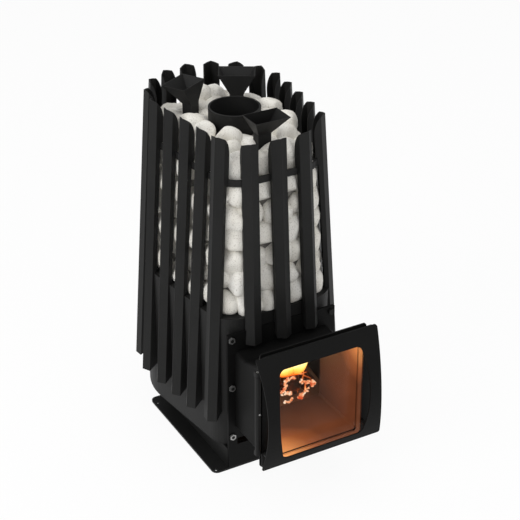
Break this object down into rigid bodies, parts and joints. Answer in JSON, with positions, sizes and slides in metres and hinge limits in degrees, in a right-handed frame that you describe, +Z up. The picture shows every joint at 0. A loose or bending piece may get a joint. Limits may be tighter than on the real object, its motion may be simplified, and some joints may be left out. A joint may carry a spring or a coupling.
{
  "type": "sauna stove",
  "caption": "Free-standing wood-fired sauna stove: leaning steel fins cage a heap of stones around a flue collar over a firebox with a fuel tunnel and a hinged glazed door.",
  "frame": {"origin": "point on the floor under the middle of the stone cage, on the underside of the base plate, in the left-right symmetry plane", "axes": "+Z up, +X to the right seen from the front, +Y to the back; the door faces -Y"},
  "size_m": [0.4294, 0.7142, 0.845],
  "materials": {
    "black_coat": "heat-resistant black coating, satin",
    "hot_steel": "heat-tinted bare steel",
    "cast_grate": "as cast",
    "pale_stone": "matte tumbled stone",
    "bare_steel": "zinc plated",
    "seal_rope": "woven heat-proof rope",
    "door_glass": "clear heat-proof glass"
  },
  "bodies": {
    "stove": {"base_plate": "black_coat", "pedestal_left": "black_coat", "pedestal_right": "black_coat", "front_plate": "black_coat", "firebox_floor": "black_coat", "firebox_shell": "black_coat", "firebox_roof": "black_coat", "flue_collar": "black_coat", "hoop_ring": "black_coat", "fuel_tunnel": "black_coat", "door_frame": "black_coat", "hinge_lug_lower": "black_coat", "hinge_lug_upper": "black_coat", "water_funnel_front": "black_coat", "water_funnel_back_left": "black_coat", "water_funnel_back_right": "black_coat", "fin_back": "black_coat", "fin_left_1": "black_coat", "fin_left_2": "black_coat", "fin_left_3": "black_coat", "fin_left_4": "black_coat", "fin_left_5": "black_coat", "fin_left_6": "black_coat", "fin_left_7": "black_coat", "fin_left_8": "black_coat", "fin_right_1": "black_coat", "fin_right_2": "black_coat", "fin_right_3": "black_coat", "fin_right_4": "black_coat", "fin_right_5": "black_coat", "fin_right_6": "black_coat", "fin_right_7": "black_coat", "fin_right_8": "black_coat", "fin_front_left": "black_coat", "fin_front_centre": "black_coat", "fin_front_right": "black_coat", "hearth_plate": "hot_steel", "ash_pan": "hot_steel", "flame_baffle": "hot_steel", "grate": "cast_grate", "stone_bed": "pale_stone", "hinge_rod": "bare_steel", "front_bolt_left_1": "bare_steel", "front_bolt_left_2": "bare_steel", "front_bolt_left_3": "bare_steel", "front_bolt_right_1": "bare_steel", "front_bolt_right_2": "bare_steel", "front_bolt_right_3": "bare_steel"},
    "door": {"door_leaf": "black_coat", "hinge_tube": "black_coat", "door_facade": "black_coat", "facade_spacer_lower_left": "black_coat", "facade_spacer_lower_right": "black_coat", "facade_spacer_upper_left": "black_coat", "facade_spacer_upper_right": "black_coat", "door_seal": "seal_rope", "glass_gasket": "seal_rope", "door_glass": "door_glass"}
  },
  "joints": [
    {"name": "door_hinge", "type": "hinge", "parent": "stove", "child": "door", "pos_m": [-0.143, -0.378, 0.25], "axis": [0, 0, -1], "range_deg": [0, 110]}
  ]
}
